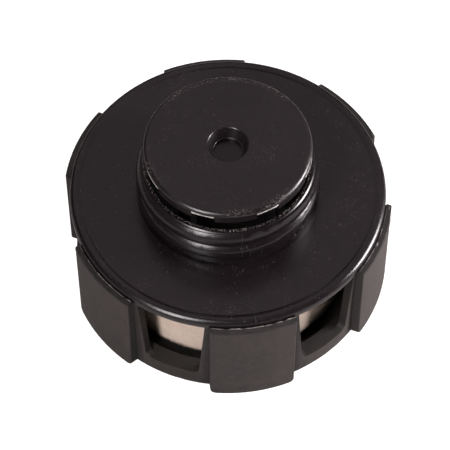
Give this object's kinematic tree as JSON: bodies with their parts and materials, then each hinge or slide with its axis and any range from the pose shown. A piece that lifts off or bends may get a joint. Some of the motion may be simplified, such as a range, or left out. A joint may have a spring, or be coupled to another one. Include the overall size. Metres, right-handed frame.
{
  "type": "hydraulic filler breather",
  "caption": "Round tank breather with grip lugs and air windows, a filter ring, a two-way valve and a coarse threaded neck with a splash baffle.",
  "frame": {"origin": "centre of the cover's closed face, which the object stands on", "axes": "+Z along the neck, away from the closed face; one grip lug faces -Y"},
  "size_m": [0.1312, 0.1362, 0.0831],
  "materials": {
    "moulded_black": "fine moulded skin, satin, dusty",
    "filter_felt": "smooth fibrous filter felt",
    "cap_compound": "matte cast compound",
    "seal_rubber": "matte rubber",
    "pad_foam": "closed cell foam",
    "cage_plastic": "moulded",
    "valve_plastic": "natural moulded",
    "zinc_steel": "zinc plated",
    "black_steel": "blackened and oiled",
    "spring_steel": "drawn wire"
  },
  "bodies": {
    "housing": {"cover": "moulded_black", "base": "moulded_black", "baffle": "moulded_black", "filter_media": "filter_felt", "filter_core": "zinc_steel", "filter_lower_cap": "cap_compound", "filter_upper_cap": "cap_compound", "filter_seal": "seal_rubber", "filter_pad": "pad_foam", "spring_cage": "cage_plastic", "cage_screws": "black_steel", "relief_spring": "spring_steel"},
    "relief_valve": {"relief_plate": "black_steel", "relief_seal": "seal_rubber", "vacuum_spring": "spring_steel"},
    "inlet_valve": {"vacuum_valve": "valve_plastic", "vacuum_seal": "seal_rubber", "vacuum_clip": "spring_steel"}
  },
  "joints": [
    {"name": "relief_lift", "type": "slide", "parent": "housing", "child": "relief_valve", "axis": [0, 0, -1], "range_m": [0, 0.005], "stiffness_N_per_m": 2000, "springref_m": -0.012, "deforming": ["relief_spring"]},
    {"name": "inlet_lift", "type": "slide", "parent": "relief_valve", "child": "inlet_valve", "axis": [0, 0, 1], "range_m": [0, 0.003], "stiffness_N_per_m": 200, "springref_m": -0.004, "deforming": ["vacuum_spring"]}
  ]
}
